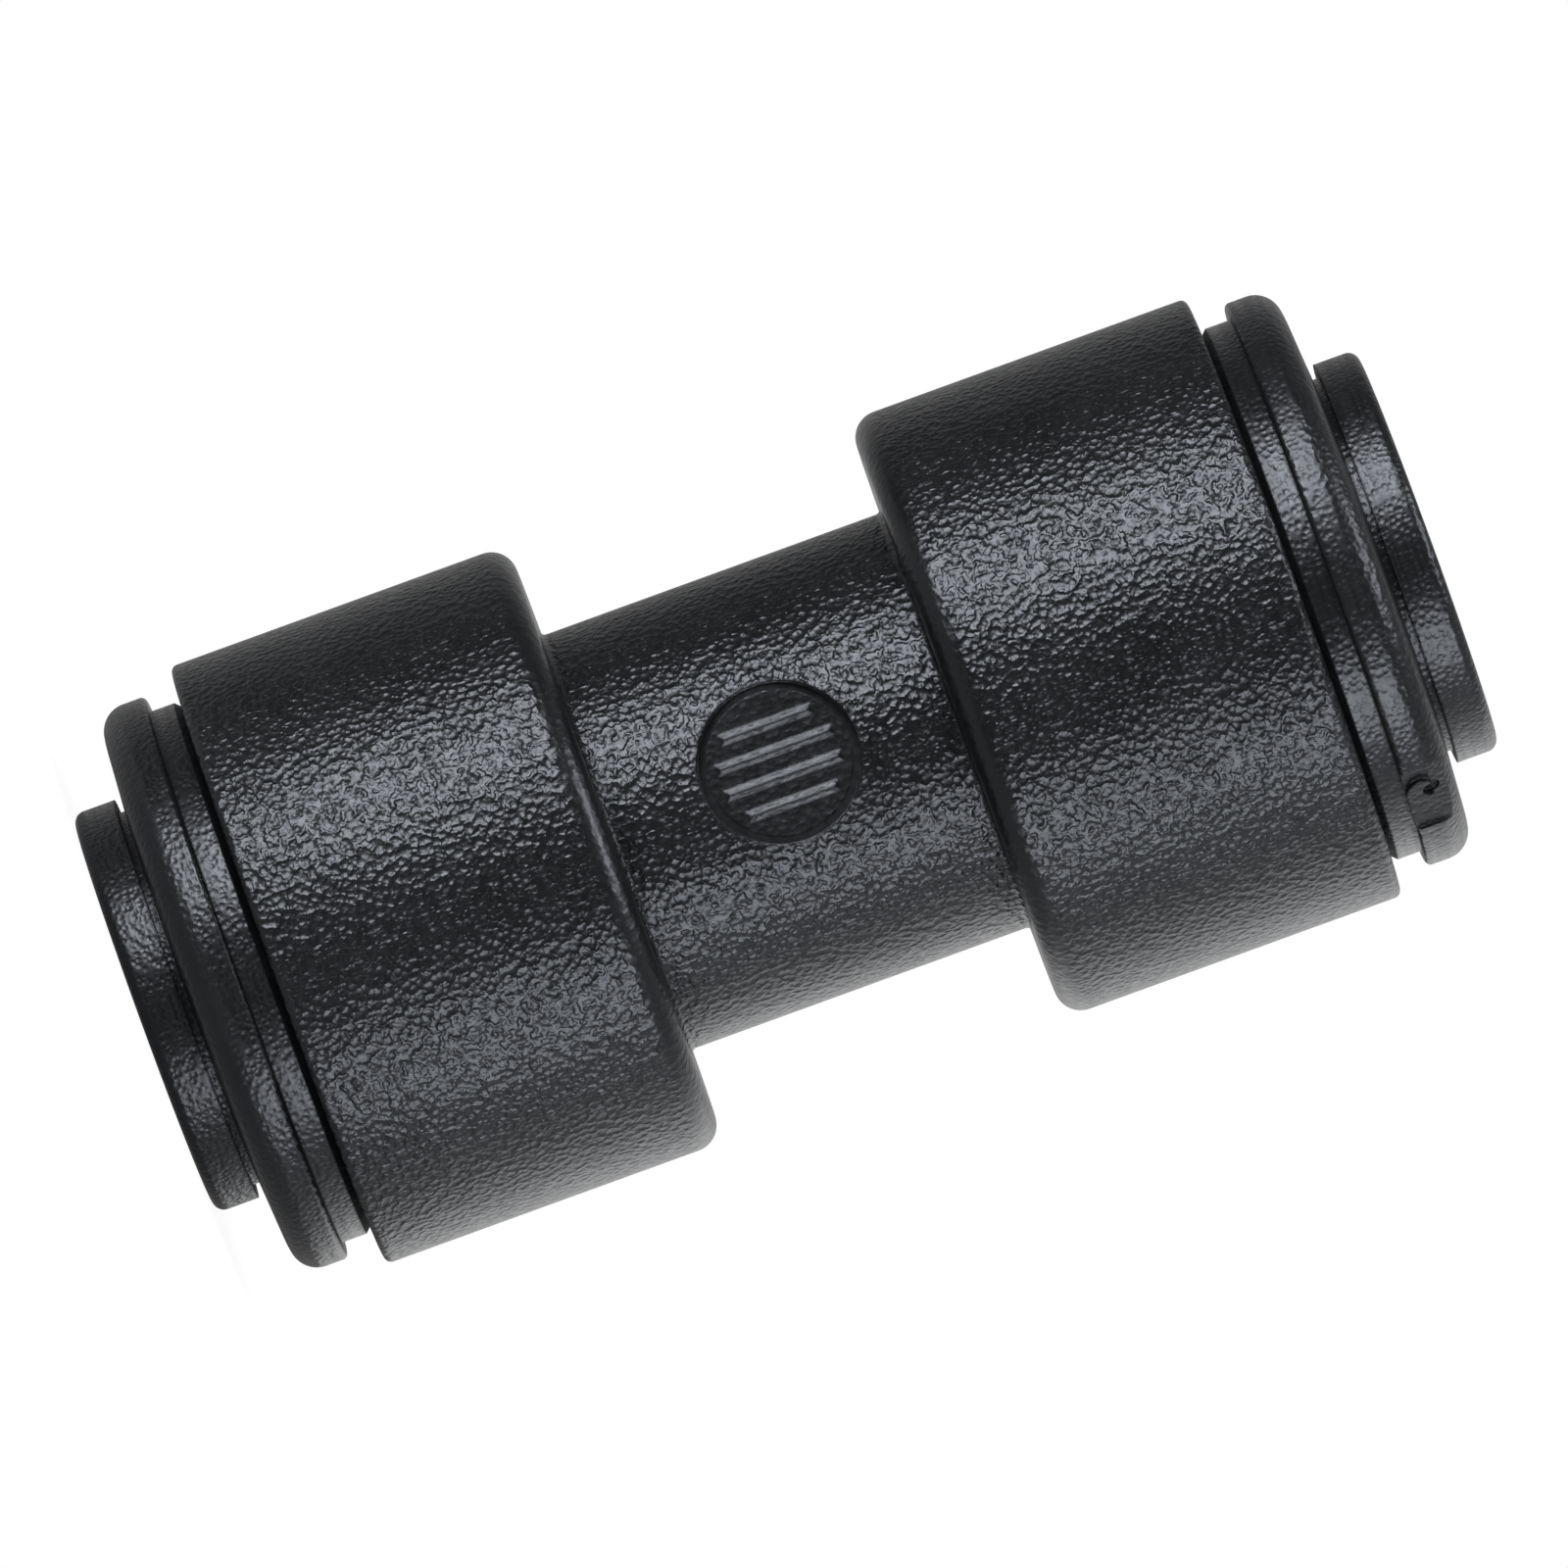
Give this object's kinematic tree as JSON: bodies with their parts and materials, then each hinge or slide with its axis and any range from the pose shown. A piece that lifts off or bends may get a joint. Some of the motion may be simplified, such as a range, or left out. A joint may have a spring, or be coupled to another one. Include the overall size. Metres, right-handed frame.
{
  "type": "push-fit tube connector",
  "caption": "Straight equal push-fit connector for 15 mm tube: moulded body, welded end caps, seal rings and sliding release collets with steel grip teeth.",
  "frame": {"origin": "middle of the fitting on the tube axis, half way through the tube stop", "axes": "+Z along the tube axis towards the top socket, -Y towards the side with the round recess (which is turned 5.5 degrees from it). It stands on the lower collet's end face."},
  "size_m": [0.027, 0.027, 0.058],
  "materials": {
    "body_acetal": "matte",
    "cap_acetal": "satin",
    "collet_acetal": "satin",
    "seal_rubber": "matte",
    "tooth_steel": "satin"
  },
  "bodies": {
    "fitting": {"fitting_body": "body_acetal", "end_cap_top": "cap_acetal", "o_ring_top": "seal_rubber", "end_cap_bottom": "cap_acetal", "o_ring_bottom": "seal_rubber"},
    "collet_top": {"collet_top": "collet_acetal", "grip_tooth_top_1": "tooth_steel", "grip_tooth_top_2": "tooth_steel", "grip_tooth_top_3": "tooth_steel", "grip_tooth_top_4": "tooth_steel", "grip_tooth_top_5": "tooth_steel", "grip_tooth_top_6": "tooth_steel", "grip_tooth_top_7": "tooth_steel", "grip_tooth_top_8": "tooth_steel"},
    "collet_bottom": {"collet_bottom": "collet_acetal", "grip_tooth_bottom_1": "tooth_steel", "grip_tooth_bottom_2": "tooth_steel", "grip_tooth_bottom_3": "tooth_steel", "grip_tooth_bottom_4": "tooth_steel", "grip_tooth_bottom_5": "tooth_steel", "grip_tooth_bottom_6": "tooth_steel", "grip_tooth_bottom_7": "tooth_steel", "grip_tooth_bottom_8": "tooth_steel"}
  },
  "joints": [
    {"name": "collet_top_slide", "type": "slide", "parent": "fitting", "child": "collet_top", "axis": [0, 0, 1], "range_m": [-0.0003, 0.0014]},
    {"name": "collet_bottom_slide", "type": "slide", "parent": "fitting", "child": "collet_bottom", "axis": [0, 0, -1], "range_m": [-0.0003, 0.0014]}
  ]
}
